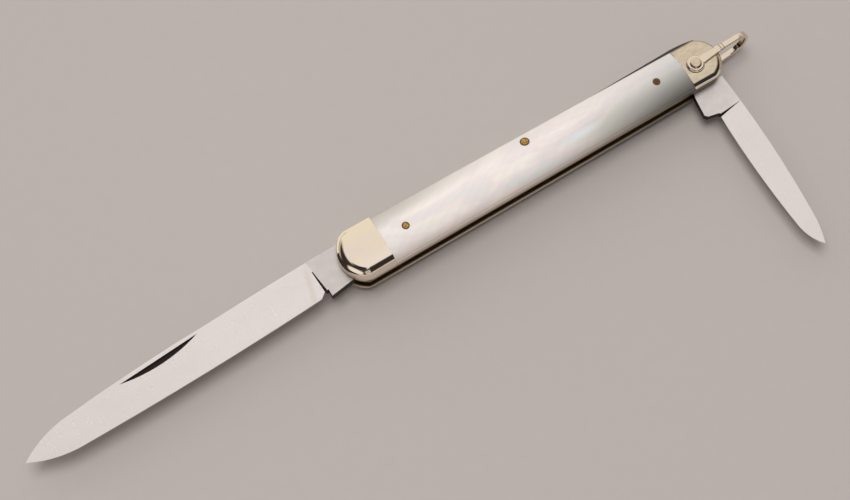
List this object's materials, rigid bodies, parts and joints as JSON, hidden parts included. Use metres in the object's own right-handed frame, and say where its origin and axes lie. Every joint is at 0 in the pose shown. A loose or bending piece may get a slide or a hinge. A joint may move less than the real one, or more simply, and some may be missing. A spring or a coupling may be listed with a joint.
{
  "type": "two-blade pen knife",
  "caption": "Folding pocket knife with a tapered handle, pearl scales, metal bolsters, a main blade, a smaller pen blade and a hinged bail.",
  "frame": {"origin": "on the main pivot's axis, in the plane of the pile-side main bolster's flat face, on which the knife lies", "axes": "+X along the handle from the main pivot towards the bail, +Y towards the back spring, +Z out of the mark side, up as pictured"},
  "size_m": [0.1501, 0.0455, 0.0081],
  "materials": {
    "blade": "fine satin",
    "spring": "satin",
    "liner": "satin",
    "scale": "polished mother-of-pearl, opaque",
    "bolster": "polished nickel silver",
    "pin": "polished",
    "bail": "polished nickel silver"
  },
  "bodies": {
    "handle": {"mark_liner": "liner", "pile_liner": "liner", "backspring": "spring", "mark_scale": "scale", "pile_scale": "scale", "main_bolster_mark": "bolster", "main_bolster_pile": "bolster", "bail_bolster_mark": "bolster", "bail_bolster_pile": "bolster", "main_pivot_pin": "bolster", "pen_pivot_pin": "bolster", "centre_pin": "pin", "scale_pins": "pin"},
    "main_blade": {"main_blade": "blade"},
    "pen_blade": {"pen_blade": "blade"},
    "bail": {"bail": "bail"}
  },
  "joints": [
    {"name": "main_blade_pivot", "type": "hinge", "parent": "handle", "child": "main_blade", "pos_m": [0, 0, 0.00405], "axis": [0, 0, 1], "range_deg": [0, 175.2]},
    {"name": "pen_blade_pivot", "type": "hinge", "parent": "handle", "child": "pen_blade", "pos_m": [0.0693, -0.0003, 0.00405], "axis": [0, 0, 1], "range_deg": [-87, 90]},
    {"name": "bail_swing", "type": "hinge", "parent": "pen_blade", "child": "bail", "pos_m": [0.0693, -0.0003, 0.00405], "axis": [0, 0, 1], "range_deg": [-34, 26]}
  ]
}
